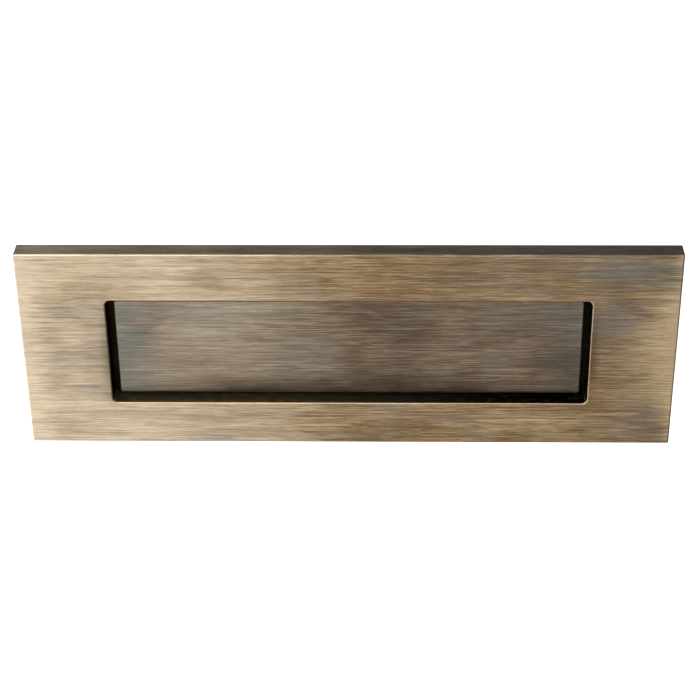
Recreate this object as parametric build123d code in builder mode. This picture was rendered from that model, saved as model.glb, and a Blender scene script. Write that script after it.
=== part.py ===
"""Letter plate for a door: a cast plate with a letter opening, closed by a sprung flap.

Millimetres, +Z up, +X to the right of someone facing the plate, +Y into the door. The origin
is halfway between the two fixing studs, on the door's outer face. The plate stands in front of
that face, at negative Y, and its hinge, springs and studs reach behind it.
"""

import os
from math import asin, atan2, cos, hypot, pi, sin, sqrt

from build123d import *

# Face plate: a casting with a hollow back, a rim round it and a sleeve round its opening
plate_width = 305.0
plate_height = 102.0
plate_depth = 10.0
side_rail = 40.2
top_rail = 24.25
bottom_rail = 22.5
plate_corner = 0.6
plate_arris = 0.9
face_wall = 4.0
rim_wall = 4.0
sleeve_wall = 3.0
opening_corner = 2.4
opening_arris = 0.7
rib_wall = 2.2
rib_spacing = 40.0
rib_below_door = 1.6

# Flap: a panel that fills the opening, on a flange that laps the sleeve from behind
flap_recess = 5.0
flap_side_gap = 3.2
flap_gap = 2.6
flap_corner = 1.3
flap_arris = 0.8
flap_skin = 2.5
flap_wall = 2.5
flange_lap = 3.6
flange_thickness = 2.0
flange_corner = 4.0
closing_gap = 1.2
flap_rib_wall = 2.0
flap_rib_spacing = 52.0
flap_rib_below_flange = 1.2
buffer_length = 12.0
buffer_height = 2.6
buffer_play = 0.2
buffer_inset = 8.0

# Hinge: a rod in the plate's lugs, with the flap's ears turning on it in nylon bushes
rod_radius = 2.0
running_gap = 0.05
seat_gap = 0.02
bush_wall = 1.0
bush_flange_thickness = 1.0
bush_flange_rise = 1.2
ear_wall = 2.0
ear_length = 9.0
lug_length = 4.5
middle_lug_length = 6.0
lug_flap_gap = 1.3
hinge_door_gap = 0.4
hinge_flange_gap = 0.6
thrust_washer_thickness = 0.5
thrust_washer_rise = 2.2
side_play = 0.3
clip_thickness = 0.6
clip_gap = 0.1
clip_groove_depth = 0.5
clip_rise = 2.2
clip_band = 1.3
clip_mouth = 3.0
clip_prong = 1.6
rod_end = 2.0

# Springs: torsion springs on the rod, one each side of the middle lug
wire_diameter = 1.1
coil_pitch = 1.15
coil_core_wall = 0.5
coil_turns = 9
coil_rod_gap = 0.6
coil_lug_gap = 0.6
tang_depth = 1.8
tang_gap = 0.05
leg_reach = 17.0
leg_root = 0.8
wire_end_reduction = 0.04
leg_seat_width = 6.0
leg_seat_height = 7.0
leg_gap = 0.05

# Fixings: studs in blind bosses, and what holds them on the inner face of the door
door_thickness = 44.0
stud_inset = 15.0
stud_thread_radius = 3.0
stud_shank_radius = 2.65
stud_hole_skin = 1.6
stud_tip_gap = 0.2
stud_far_thread = 14.0
stud_chamfer = 0.5
boss_wall = 3.5
boss_below_door = 0.6
shank_below_boss = 0.1
flat_washer_radius = 9.0
flat_washer_thickness = 1.6
flat_washer_gap = 0.2
spring_washer_radius = 5.9
spring_washer_thickness = 1.6
spring_washer_gap = 0.1
spring_washer_split = 0.9
nut_flats = 10.0
nut_hex_height = 5.0
nut_chamfer = 0.4
dome_radius = 4.75
dome_neck = 2.25
nut_thread_depth = 8.0
stud_nut_gap = 1.0

# Places worked out from the sizes above
front_y = -plate_depth
pocket_floor_y = front_y + face_wall
opening_width = plate_width - 2 * side_rail
opening_height = plate_height - top_rail - bottom_rail
opening_z = (bottom_rail - top_rail) / 2
panel_width = opening_width - 2 * flap_side_gap
panel_height = opening_height - 2 * flap_gap
panel_front_y = front_y + flap_recess
flange_front_y = closing_gap
flange_back_y = flange_front_y + flange_thickness
flange_width = opening_width + 2 * flange_lap
flange_height = opening_height + 2 * flange_lap
flange_top_z = opening_z + flange_height / 2

coil_mean_radius = rod_radius + coil_rod_gap + wire_diameter / 2
coil_outer_radius = coil_mean_radius + wire_diameter / 2
bush_bore = rod_radius + running_gap
bush_radius = bush_bore + bush_wall
ear_bore = bush_radius + seat_gap
ear_radius = ear_bore + ear_wall
hinge_y = ear_radius + hinge_door_gap
hinge_z = flange_top_z + hinge_flange_gap + max(ear_radius, coil_outer_radius)

lug_inner_x = flange_width / 2 + lug_flap_gap
lug_outer_x = lug_inner_x + lug_length
washer_outer_x = lug_inner_x - side_play
washer_inner_x = washer_outer_x - thrust_washer_thickness
bush_outer_x = washer_inner_x - side_play
ear_outer_x = bush_outer_x - bush_flange_thickness
ear_inner_x = ear_outer_x - ear_length
clip_inner_x = lug_outer_x + clip_gap
clip_outer_x = clip_inner_x + clip_thickness
groove_radius = rod_radius - clip_groove_depth
rod_half_length = clip_outer_x + clip_gap + rod_end

coil_start_x = middle_lug_length / 2 + coil_lug_gap + wire_diameter / 2
coil_end_x = coil_start_x + (coil_turns - 1) * coil_pitch

stud_x = plate_width / 2 - stud_inset
boss_radius = stud_thread_radius + seat_gap + boss_wall
boss_end_y = -boss_below_door
stud_hole_floor_y = front_y + stud_hole_skin
stud_tip_y = stud_hole_floor_y + stud_tip_gap
shank_start_y = boss_end_y + shank_below_boss
flat_washer_y = door_thickness
spring_washer_y = flat_washer_y + flat_washer_thickness
nut_y = spring_washer_y + spring_washer_thickness
nut_bore_end_y = nut_y + nut_thread_depth
stud_end_y = nut_bore_end_y - stud_nut_gap
far_thread_y = door_thickness - stud_far_thread

SIDES = {"left": -1, "right": 1}


def facing(y):
    """A plane at depth y that faces out of the door, with +X to its right and +Z up."""
    return Plane.XZ.offset(-y)


def across(x):
    """A plane at width x that faces along +X, with +Y to its right and +Z up."""
    return Plane.YZ.offset(x)


def finish(piece, name):
    """Label a finished piece and write it as its own file."""
    piece.part.label = name
    export_step(piece.part, f"parts/{name}.step")


os.makedirs("parts", exist_ok=True)

# ---------------------------------------------------------------- face plate
with BuildPart() as face_plate:
    with BuildSketch(facing(0)):
        RectangleRounded(plate_width, plate_height, plate_corner)
    extrude(amount=plate_depth)
    fillet(face_plate.faces().sort_by(Axis.Y)[0].edges(), plate_arris)

    # the hollow back, between the rim and the opening's sleeve
    with BuildSketch(facing(0)):
        Rectangle(plate_width - 2 * rim_wall, plate_height - 2 * rim_wall)
        with Locations((0, opening_z)):
            RectangleRounded(
                opening_width + 2 * sleeve_wall,
                opening_height + 2 * sleeve_wall,
                opening_corner + sleeve_wall,
                mode=Mode.SUBTRACT,
            )
    extrude(amount=-pocket_floor_y, mode=Mode.SUBTRACT)

    # cast ribs: across the top and bottom rails, and from each boss to the rim and the sleeve
    with BuildSketch(facing(-rib_below_door)):
        with GridLocations(rib_spacing, 0, 6, 1):
            Rectangle(rib_wall, plate_height - rim_wall)
        with GridLocations(plate_width - side_rail, 0, 2, 1):
            Rectangle(side_rail - sleeve_wall, rib_wall)
    extrude(amount=-pocket_floor_y - rib_below_door)

    # blind bosses for the fixing studs
    with BuildSketch(facing(boss_end_y)):
        with GridLocations(2 * stud_x, 0, 2, 1):
            Circle(boss_radius)
    extrude(amount=boss_end_y - pocket_floor_y)
    with BuildSketch(facing(boss_end_y)):
        with GridLocations(2 * stud_x, 0, 2, 1):
            Circle(stud_thread_radius + seat_gap)
    extrude(amount=boss_end_y - stud_hole_floor_y, mode=Mode.SUBTRACT)

    # the letter opening, with a rounded arris at the front
    with BuildSketch(facing(0)):
        with Locations((0, opening_z)):
            RectangleRounded(opening_width, opening_height, opening_corner)
    extrude(amount=plate_depth, mode=Mode.SUBTRACT)
    front_face = face_plate.faces().sort_by(Axis.Y)[0]
    fillet(front_face.inner_wires()[0].edges(), opening_arris)

    # three lugs that carry the hinge rod
    for centre_x, length in (
        (-(lug_inner_x + lug_length / 2), lug_length),
        (0, middle_lug_length),
        (lug_inner_x + lug_length / 2, lug_length),
    ):
        with BuildSketch(across(centre_x)):
            with Locations((hinge_y, hinge_z)):
                Circle(ear_radius)
            with Locations(((pocket_floor_y + hinge_y) / 2, hinge_z)):
                Rectangle(hinge_y - pocket_floor_y, 2 * ear_radius)
        extrude(amount=length / 2, both=True)
    with BuildSketch(across(0)):
        with Locations((hinge_y, hinge_z)):
            Circle(rod_radius + seat_gap)
    extrude(amount=lug_outer_x, both=True, mode=Mode.SUBTRACT)

    # sockets in the middle lug for the springs' fixed tangs
    for side in SIDES.values():
        with BuildSketch(across(side * (middle_lug_length / 2 - tang_depth))):
            with Locations((hinge_y, hinge_z + coil_mean_radius)):
                Circle(wire_diameter / 2 + tang_gap)
        extrude(amount=side * tang_depth, mode=Mode.SUBTRACT)
finish(face_plate, "face_plate")

# ---------------------------------------------------------------- flap
panel_pocket_width = panel_width - 2 * flap_wall
panel_pocket_height = panel_height - 2 * flap_wall
panel_pocket_y = panel_front_y + flap_skin
web_foot_z = flange_top_z - 2 * flange_lap
leg_tip_z = flange_top_z - leg_reach
leg_tip_y = flange_back_y + wire_diameter / 2 + leg_gap

with BuildPart() as flap:
    with BuildSketch(facing(flange_back_y)):
        with Locations((0, opening_z)):
            RectangleRounded(flange_width, flange_height, flange_corner)
    extrude(amount=flange_thickness)
    with BuildSketch(facing(flange_back_y)):
        with Locations((0, opening_z)):
            RectangleRounded(panel_width, panel_height, flap_corner)
    extrude(amount=flange_back_y - panel_front_y)
    fillet(flap.faces().sort_by(Axis.Y)[0].edges(), flap_arris)

    # the panel's hollow back
    with BuildSketch(facing(flange_back_y)):
        with Locations((0, opening_z)):
            RectangleRounded(panel_pocket_width, panel_pocket_height, flap_wall)
    extrude(amount=flange_back_y - panel_pocket_y, mode=Mode.SUBTRACT)
    with BuildSketch(facing(flange_back_y - flap_rib_below_flange)):
        with Locations((0, opening_z)):
            with GridLocations(flap_rib_spacing, 0, 4, 1):
                Rectangle(flap_rib_wall, panel_height - flap_wall)
    extrude(amount=flange_back_y - flap_rib_below_flange - panel_pocket_y)

    # raised seats where the springs' legs bear
    with BuildSketch(facing(flange_back_y)):
        with Locations((0, leg_tip_z)):
            with GridLocations(2 * coil_end_x, 0, 2, 1):
                Rectangle(leg_seat_width, leg_seat_height)
    extrude(amount=flange_back_y - panel_pocket_y)

    # ears that turn on the hinge rod, each on a web that grows out of the flange
    for side in SIDES.values():
        with BuildSketch(across(side * (ear_outer_x - ear_length / 2))):
            with Locations((hinge_y, hinge_z)):
                Circle(ear_radius)
            with BuildLine():
                Polyline(
                    (flange_front_y, web_foot_z),
                    (flange_front_y, hinge_z),
                    (hinge_y + ear_radius, hinge_z),
                    (flange_back_y, web_foot_z),
                    close=True,
                )
            make_face()
        extrude(amount=ear_length / 2, both=True)
        with BuildSketch(across(side * ear_inner_x)):
            with Locations((hinge_y, hinge_z)):
                Circle(ear_bore)
        extrude(amount=side * ear_length, mode=Mode.SUBTRACT)
finish(flap, "flap")

# ---------------------------------------------------------------- rubber buffers
for name, side in SIDES.items():
    with BuildPart() as flap_buffer:
        buffer_x = side * (opening_width / 2 - buffer_inset - buffer_length / 2)
        buffer_z = opening_z - opening_height / 2 - sleeve_wall / 2
        with BuildSketch(facing(flange_front_y)):
            with Locations((buffer_x, buffer_z)):
                RectangleRounded(buffer_length, buffer_height, buffer_height / 3)
        extrude(amount=closing_gap - buffer_play)
    finish(flap_buffer, f"flap_buffer_{name}")

# ---------------------------------------------------------------- hinge rod
with BuildPart() as hinge_rod:
    with BuildSketch(across(0)):
        with Locations((hinge_y, hinge_z)):
            Circle(rod_radius)
    extrude(amount=rod_half_length, both=True)
    chamfer(hinge_rod.faces().filter_by(Axis.X).edges(), rod_end / 4)
    for side in SIDES.values():
        with BuildSketch(across(side * (clip_inner_x - clip_gap / 2))):
            with Locations((hinge_y, hinge_z)):
                Circle(rod_radius + 1)
                Circle(groove_radius, mode=Mode.SUBTRACT)
        extrude(amount=side * (clip_thickness + clip_gap), mode=Mode.SUBTRACT)
finish(hinge_rod, "hinge_rod")

# ---------------------------------------------------------------- hinge bushes
for name, side in SIDES.items():
    with BuildPart() as hinge_bush:
        with BuildSketch(across(side * ear_inner_x)):
            with Locations((hinge_y, hinge_z)):
                Circle(bush_radius)
        extrude(amount=side * ear_length)
        with BuildSketch(across(side * ear_outer_x)):
            with Locations((hinge_y, hinge_z)):
                Circle(bush_radius + bush_flange_rise)
        extrude(amount=side * bush_flange_thickness)
        with BuildSketch(across(side * ear_inner_x)):
            with Locations((hinge_y, hinge_z)):
                Circle(bush_bore)
        extrude(amount=side * (ear_length + bush_flange_thickness), mode=Mode.SUBTRACT)
    finish(hinge_bush, f"hinge_bush_{name}")

# ---------------------------------------------------------------- thrust washers
for name, side in SIDES.items():
    with BuildPart() as thrust_washer:
        with BuildSketch(across(side * washer_inner_x)):
            with Locations((hinge_y, hinge_z)):
                Circle(rod_radius + thrust_washer_rise)
                Circle(rod_radius + running_gap, mode=Mode.SUBTRACT)
        extrude(amount=side * thrust_washer_thickness)
    finish(thrust_washer, f"thrust_washer_{name}")

# ---------------------------------------------------------------- retaining clips
clip_radius = rod_radius + clip_rise
clip_inner_radius = clip_radius - clip_band
clip_seat_radius = groove_radius + seat_gap
for name, side in SIDES.items():
    with BuildPart() as retaining_clip:
        with BuildSketch(across(side * clip_inner_x)):
            with Locations((hinge_y, hinge_z)):
                Circle(clip_radius)
                Circle(clip_inner_radius, mode=Mode.SUBTRACT)
            with Locations((hinge_y, hinge_z - clip_radius / 2)):
                Rectangle(clip_mouth, clip_radius, mode=Mode.SUBTRACT)
            # the three prongs that grip the groove
            with Locations((hinge_y, hinge_z + clip_inner_radius / 2)):
                Rectangle(clip_prong, clip_inner_radius + clip_band)
            with Locations((hinge_y, hinge_z)):
                Rectangle(2 * clip_inner_radius + clip_band, clip_prong)
            with Locations((hinge_y, hinge_z)):
                Circle(clip_seat_radius, mode=Mode.SUBTRACT)
        extrude(amount=side * clip_thickness)
    finish(retaining_clip, f"retaining_clip_{name}")

# ---------------------------------------------------------------- springs
tang_end_x = middle_lug_length / 2 - tang_depth + tang_gap
leg_span = hypot(hinge_y - leg_tip_y, hinge_z - leg_tip_z)
leg_length = sqrt(leg_span**2 - coil_mean_radius**2)
leg_angle = atan2(hinge_z - leg_tip_z, hinge_y - leg_tip_y) - asin(coil_mean_radius / leg_span)
for name, side in SIDES.items():
    with BuildPart() as flap_spring:
        # close-wound turns, as one ribbed sleeve round the rod
        with BuildSketch(Plane.XY.offset(hinge_z)):
            for turn in range(coil_turns):
                turn_x = side * (coil_start_x + turn * coil_pitch)
                with Locations((turn_x, hinge_y + coil_mean_radius)):
                    Circle(wire_diameter / 2)
            coil_middle_x = side * (coil_start_x + coil_end_x) / 2
            with Locations((coil_middle_x, hinge_y + coil_mean_radius)):
                Rectangle(coil_end_x - coil_start_x, coil_core_wall)
        revolve(axis=Axis((0, hinge_y, hinge_z), (1, 0, 0)))
        # the fixed tang, turned into the middle lug
        with BuildSketch(across(side * coil_start_x)):
            with Locations((hinge_y, hinge_z + coil_mean_radius)):
                Circle(wire_diameter / 2 - wire_end_reduction)
        extrude(amount=-side * (coil_start_x - tang_end_x))
        # the moving leg, straight off the last turn and down to the flap's seat
        leg_tip = Plane(
            origin=(side * coil_end_x, leg_tip_y, leg_tip_z),
            x_dir=(1, 0, 0),
            z_dir=(0, cos(leg_angle), sin(leg_angle)),
        )
        with BuildSketch(leg_tip):
            Circle(wire_diameter / 2 - wire_end_reduction)
        extrude(amount=leg_length + leg_root)
    finish(flap_spring, f"flap_spring_{name}")

# ---------------------------------------------------------------- fixing studs
for name, side in SIDES.items():
    with BuildPart() as fixing_stud:
        for start_y, end_y, radius in (
            (stud_tip_y, shank_start_y, stud_thread_radius),
            (shank_start_y, far_thread_y, stud_shank_radius),
            (far_thread_y, stud_end_y, stud_thread_radius),
        ):
            with BuildSketch(facing(end_y)):
                with Locations((side * stud_x, 0)):
                    Circle(radius)
            extrude(amount=end_y - start_y)
        ends = fixing_stud.faces().filter_by(Axis.Y).sort_by(Axis.Y)
        chamfer(ends[0].edges() + ends[-1].edges(), stud_chamfer)
    finish(fixing_stud, f"fixing_stud_{name}")

# ---------------------------------------------------------------- washers and nuts
for name, side in SIDES.items():
    with BuildPart() as flat_washer:
        with BuildSketch(facing(spring_washer_y)):
            with Locations((side * stud_x, 0)):
                Circle(flat_washer_radius)
                Circle(stud_thread_radius + flat_washer_gap, mode=Mode.SUBTRACT)
        extrude(amount=flat_washer_thickness)
    finish(flat_washer, f"flat_washer_{name}")

    with BuildPart() as spring_washer:
        with BuildSketch(facing(nut_y)):
            with Locations((side * stud_x, 0)):
                Circle(spring_washer_radius)
                Circle(stud_thread_radius + spring_washer_gap, mode=Mode.SUBTRACT)
            with Locations((side * stud_x, spring_washer_radius / 2)):
                Rectangle(spring_washer_split, spring_washer_radius, mode=Mode.SUBTRACT)
        extrude(amount=spring_washer_thickness)
    finish(spring_washer, f"spring_washer_{name}")

    with BuildPart() as cap_nut:
        with BuildSketch(facing(nut_y + nut_hex_height)):
            with Locations((side * stud_x, 0)):
                RegularPolygon(nut_flats / 2, 6, major_radius=False)
        extrude(amount=nut_hex_height)
        # both ends of the hexagon are turned to a cone
        nut_axis = Axis((side * stud_x, nut_y, 0), (0, 1, 0))
        corner_radius = nut_flats / 2 / cos(pi / 6)
        with BuildSketch(Plane.XY) as turned_outline:
            with BuildLine():
                Polyline(
                    (side * stud_x, nut_y),
                    (side * stud_x + nut_flats / 2 - nut_chamfer / 2, nut_y),
                    (side * stud_x + corner_radius, nut_y + nut_chamfer),
                    (side * stud_x + corner_radius, nut_y + nut_hex_height - nut_chamfer),
                    (side * stud_x + dome_radius, nut_y + nut_hex_height),
                    (side * stud_x, nut_y + nut_hex_height),
                    close=True,
                )
            make_face()
        revolve(axis=nut_axis, mode=Mode.INTERSECT)
        # the dome
        dome_y = nut_y + nut_hex_height + dome_neck
        with BuildSketch(Plane.XY):
            with BuildLine():
                Line(
                    (side * stud_x, nut_y + nut_hex_height - nut_chamfer),
                    (side * stud_x, dome_y + dome_radius),
                )
                ThreePointArc(
                    (side * stud_x, dome_y + dome_radius),
                    (side * stud_x + dome_radius * sin(pi / 4), dome_y + dome_radius * cos(pi / 4)),
                    (side * stud_x + dome_radius, dome_y),
                )
                Polyline(
                    (side * stud_x + dome_radius, dome_y),
                    (side * stud_x + dome_radius, nut_y + nut_hex_height - nut_chamfer),
                    (side * stud_x, nut_y + nut_hex_height - nut_chamfer),
                )
            make_face()
        revolve(axis=nut_axis)
        with BuildSketch(facing(nut_bore_end_y)):
            with Locations((side * stud_x, 0)):
                Circle(stud_thread_radius + seat_gap)
        extrude(amount=nut_thread_depth, mode=Mode.SUBTRACT)
    finish(cap_nut, f"cap_nut_{name}")
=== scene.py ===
"""Looks of a brass letter plate: its brushed castings, its hinge, springs, studs and nuts.

Metres, +Z up, +X to the right of someone facing the plate, +Y into the door.
"""

from math import atan2, cos, pi, radians, sin, sqrt

import bpy
from mathutils import Matrix, Vector


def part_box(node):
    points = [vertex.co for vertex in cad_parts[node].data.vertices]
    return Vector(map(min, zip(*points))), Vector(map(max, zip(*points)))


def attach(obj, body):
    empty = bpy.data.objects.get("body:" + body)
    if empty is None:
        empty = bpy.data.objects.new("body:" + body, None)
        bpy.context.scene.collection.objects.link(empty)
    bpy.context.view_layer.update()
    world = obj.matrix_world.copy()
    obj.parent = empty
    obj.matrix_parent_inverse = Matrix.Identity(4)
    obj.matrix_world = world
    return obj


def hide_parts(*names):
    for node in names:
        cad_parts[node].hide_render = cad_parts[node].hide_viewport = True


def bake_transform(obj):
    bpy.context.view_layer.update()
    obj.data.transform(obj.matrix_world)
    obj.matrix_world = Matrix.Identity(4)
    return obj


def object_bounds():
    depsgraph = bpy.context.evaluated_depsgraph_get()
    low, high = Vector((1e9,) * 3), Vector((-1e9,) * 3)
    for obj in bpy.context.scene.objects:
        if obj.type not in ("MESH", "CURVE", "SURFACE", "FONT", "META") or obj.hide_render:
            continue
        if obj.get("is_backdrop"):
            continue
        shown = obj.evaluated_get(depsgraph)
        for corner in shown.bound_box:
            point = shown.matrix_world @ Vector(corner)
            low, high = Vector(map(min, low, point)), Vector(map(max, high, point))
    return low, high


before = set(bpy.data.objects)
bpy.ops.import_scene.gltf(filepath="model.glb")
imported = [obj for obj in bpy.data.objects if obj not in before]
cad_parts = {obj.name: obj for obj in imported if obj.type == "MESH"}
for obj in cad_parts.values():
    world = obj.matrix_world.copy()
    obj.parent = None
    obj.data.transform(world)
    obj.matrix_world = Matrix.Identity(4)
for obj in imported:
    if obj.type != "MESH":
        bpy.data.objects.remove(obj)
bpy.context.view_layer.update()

MM = 0.001
SIDES = {"left": -1, "right": 1}

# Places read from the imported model
plate_low, plate_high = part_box("face_plate")
flap_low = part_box("flap")[0]
rod_low, rod_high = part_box("hinge_rod")
rod_radius = (rod_high.y - rod_low.y) / 2
hinge = Vector((0, (rod_low.y + rod_high.y) / 2, (rod_low.z + rod_high.z) / 2))

# The castings' own sizes
opening_half_width = 112.3 * MM
opening_bottom = -28.5 * MM
opening_top = 26.75 * MM
opening_arris = 0.7 * MM
panel_bottom = -25.9 * MM
panel_top = 24.15 * MM
flange_front = 1.2 * MM
flange_back = 3.2 * MM
casting_ease = 0.22 * MM

# Within this distance two places count as one
NEAR = 0.01 * MM

# No painted light by depth: the same shade at every depth
NO_PAINTED_DEPTH_LIGHT = (-1.0, 1.0, 1.0, 1.0)


# ---------------------------------------------------------------- finishes
class Finish:
    """A material in the making. Each method adds one step and gives back its output."""

    def __init__(self, name):
        self.material = bpy.data.materials.new(name)
        self.material.use_nodes = True
        self.tree = self.material.node_tree
        self.shader = self.tree.nodes["Principled BSDF"]
        self.place = self.add("ShaderNodeTexCoord").outputs["Object"]
        self.along = self.add("ShaderNodeSeparateXYZ", Vector=self.place)

    def add(self, kind, settings=None, **feeds):
        """A node with its settings, and its sockets either set or linked."""
        node = self.tree.nodes.new(kind)
        for name, value in (settings or {}).items():
            setattr(node, name, value)
        for name, value in feeds.items():
            self.feed(node.inputs[name.replace("_", " ")], value)
        return node

    def feed(self, socket, value):
        if isinstance(value, bpy.types.NodeSocket):
            self.tree.links.new(value, socket)
        else:
            socket.default_value = value

    def grain(self, size, detail=2.0, roughness=0.5, shift=0.0, twist=0.0, place=None):
        """Noise whose grains have the given size along X, Y and Z."""
        mapping = self.add("ShaderNodeMapping", Vector=place or self.place)
        mapping.inputs["Scale"].default_value = [1 / length for length in size]
        mapping.inputs["Location"].default_value = (shift, shift, shift)
        noise = self.add("ShaderNodeTexNoise", Vector=mapping.outputs[0])
        noise.inputs["Scale"].default_value = 1.0
        noise.inputs["Detail"].default_value = detail
        noise.inputs["Roughness"].default_value = roughness
        noise.inputs["Distortion"].default_value = twist
        return noise.outputs[0]

    def threads(self, length, width, shift, place):
        """Straight-edged lines along X, each with a value of its own between 0 and 1."""
        mapping = self.add("ShaderNodeMapping", Vector=place)
        mapping.inputs["Scale"].default_value = (1 / length, 1 / width, 1 / width)
        mapping.inputs["Location"].default_value = (shift, shift, shift)
        cells = self.add("ShaderNodeTexVoronoi", Vector=mapping.outputs[0], Scale=1.0)
        return self.add("ShaderNodeSeparateColor", Color=cells.outputs["Color"]).outputs[0]

    def spread(self, value, low, high, to_low=0.0, to_high=1.0, smooth=True):
        """The value's stretch from low to high, spread from to_low to to_high."""
        kind = "SMOOTHSTEP" if smooth else "LINEAR"
        node = self.add("ShaderNodeMapRange", {"interpolation_type": kind}, Value=value)
        node.inputs["From Min"].default_value = low
        node.inputs["From Max"].default_value = high
        node.inputs["To Min"].default_value = to_low
        node.inputs["To Max"].default_value = to_high
        return node.outputs[0]

    def math(self, operation, first, second=0.0, clamp=False):
        node = self.add("ShaderNodeMath", {"operation": operation, "use_clamp": clamp})
        self.feed(node.inputs[0], first)
        self.feed(node.inputs[1], second)
        return node.outputs[0]

    def total(self, first, *others):
        for other in others:
            first = self.math("ADD", first, other)
        return first

    def product(self, first, *others):
        for other in others:
            first = self.math("MULTIPLY", first, other)
        return first

    def clouded(self, patches, value):
        """A value with soft clouds added: x, z, half width, half height in mm, and strength."""
        for x, z, half_width, half_height, strength in patches:
            soft = self.patch(x * MM, z * MM, half_width * MM, half_height * MM)
            value = self.total(value, self.product(soft, strength))
        return value

    def mix(self, factor, first, second, how="MIX"):
        """Two colours mixed, each an output or a red, green and blue."""
        node = self.add("ShaderNodeMix", {"data_type": "RGBA", "blend_type": how})
        self.feed(node.inputs[0], factor)
        for socket, colour in ((node.inputs[6], first), (node.inputs[7], second)):
            self.feed(socket, colour if hasattr(colour, "node") else (*colour, 1.0))
        return node.outputs[2]

    def patch(self, x, z, half_width, half_height):
        """A soft cloud, 1 at its middle on the plate's face and 0 past its edge."""
        mapping = self.add("ShaderNodeMapping", {"vector_type": "TEXTURE"}, Vector=self.place)
        mapping.inputs["Location"].default_value = (x, 0.0, z)
        mapping.inputs["Scale"].default_value = (half_width, 1.0, half_height)
        distance = self.add("ShaderNodeVectorMath", {"operation": "LENGTH"})
        self.feed(distance.inputs[0], mapping.outputs[0])
        return self.spread(distance.outputs["Value"], 1.0, 0.0)

    def bump(self, height, depth, under=None):
        """A relief of the given depth, laid over another one."""
        node = self.add("ShaderNodeBump", Height=height)
        node.inputs["Distance"].default_value = depth
        if under:
            self.feed(node.inputs["Normal"], under)
        return node.outputs[0]

    def surface(self, **feeds):
        for name, value in feeds.items():
            if name == "Base_Color" and not hasattr(value, "node"):
                value = (*value, 1.0)
            self.feed(self.shader.inputs[name.replace("_", " ")], value)
        return self.material


def drawn_out(length, width):
    """The size of a grain drawn out along X."""
    return (length * MM, width * MM, width * MM)


class Brushing:
    """The marks of a wheel run from end to end over a finish, and the clouds over them."""

    def __init__(self, finish):
        self.finish = finish
        place = self.swayed()
        self.hair = finish.grain(drawn_out(7, 0.17), roughness=0.6, place=place)
        self.strand = finish.grain(drawn_out(24, 0.28), detail=3.0, shift=5.2, place=place)
        self.line = finish.grain(drawn_out(90, 0.26), detail=1.0, shift=2.6, place=place)
        self.band = finish.grain(drawn_out(70, 2.4), detail=4.0, shift=3.1, place=place)
        self.cool = finish.grain(
            drawn_out(60, 1.7), detail=5.0, roughness=0.65, shift=7.7, place=place
        )
        self.cloud = finish.grain(drawn_out(34, 15), detail=3.0, shift=1.3, twist=0.5)
        short = finish.threads(9 * MM, 0.24 * MM, 4.7, place)
        long = finish.threads(30 * MM, 0.34 * MM, 9.3, place)
        self.streak = finish.total(
            finish.product(self.hair, 0.45),
            finish.product(self.strand, 0.55),
            finish.spread(short, 0.0, 1.0, -0.055, 0.055, smooth=False),
            finish.spread(long, 0.0, 1.0, -0.06, 0.06, smooth=False),
        )

    def swayed(self):
        """Places that sway a little up and down along the plate, as the wheel did."""
        finish = self.finish
        sway = finish.grain(drawn_out(60, 14), detail=1.0, shift=8.4)
        sway = finish.spread(sway, 0.0, 1.0, -0.9 * MM, 0.9 * MM, smooth=False)
        lift = finish.add("ShaderNodeCombineXYZ", X=0.0, Y=sway, Z=sway)
        moved = finish.add("ShaderNodeVectorMath", {"operation": "ADD"})
        finish.feed(moved.inputs[0], finish.place)
        finish.feed(moved.inputs[1], lift.outputs[0])
        return moved.outputs[0]

    def wear(self, left, right, patches):
        """1 where the wheel has cut through to bright brass, 0 where the patina is left; it rises
        to the left, partly real wear and partly painted light from the left.
        """
        finish = self.finish
        along = finish.along.outputs["X"]
        cut = finish.spread(self.streak, 0.32, 0.68, -1.0, 1.0)
        level = finish.total(
            # wear falls from the left end to the right: partly real wear, partly painted light from
            # the left
            finish.spread(along, -75 * MM, 20 * MM, left, right),
            finish.spread(self.cloud, 0.35, 0.65, -0.10, 0.10),
            finish.product(cut, finish.spread(along, -75 * MM, 40 * MM, 0.14, 0.40)),
            finish.spread(self.band, 0.35, 0.65, -0.08, 0.08),
            finish.spread(self.line, 0.60, 0.74, 0.0, 0.35),
        )
        return finish.math("ADD", finish.clouded(patches, level), 0.0, clamp=True)

    def tarnish(self, patches):
        """Grey clouds, and grey streaks where the wheel has cut least."""
        finish = self.finish
        level = finish.clouded(patches, finish.spread(self.cloud, 0.5, 0.7, 0.0, 0.2))
        level = finish.product(level, finish.spread(self.cool, 0.36, 0.62, 0.6, 1.4))
        level = finish.total(level, finish.spread(self.cool, 0.48, 0.68, 0.0, 0.30))
        uncut = finish.spread(self.streak, 0.40, 0.62, 1.3, 0.5)
        return finish.math("MULTIPLY", level, uncut, clamp=True)

    def tone(self, shade, patches, painted_edge_shade, painted_depth_light):
        """Depth of tone: dark lines between the streaks, darker clouds, painted shade along chosen
        edges, and painted light that changes with depth.
        """
        finish = self.finish
        dark = finish.clouded(patches, finish.spread(self.cloud, 0.5, 0.3, 0.0, 0.12))
        level = finish.product(
            finish.spread(self.streak, 0.32, 0.66, shade * 0.81, shade * 1.15),
            finish.math("SUBTRACT", 1.0, dark),
        )
        # painted shade, darker towards each chosen edge
        for axis, clear, edge, strength in painted_edge_shade:
            painted_shade_at_edge = finish.spread(finish.along.outputs[axis], clear, edge, 1.0, 1.0 - strength)
            level = finish.product(level, painted_shade_at_edge)
        # painted light that changes with depth, from front to back
        return finish.product(level, finish.spread(finish.along.outputs["Y"], *painted_depth_light))


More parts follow.
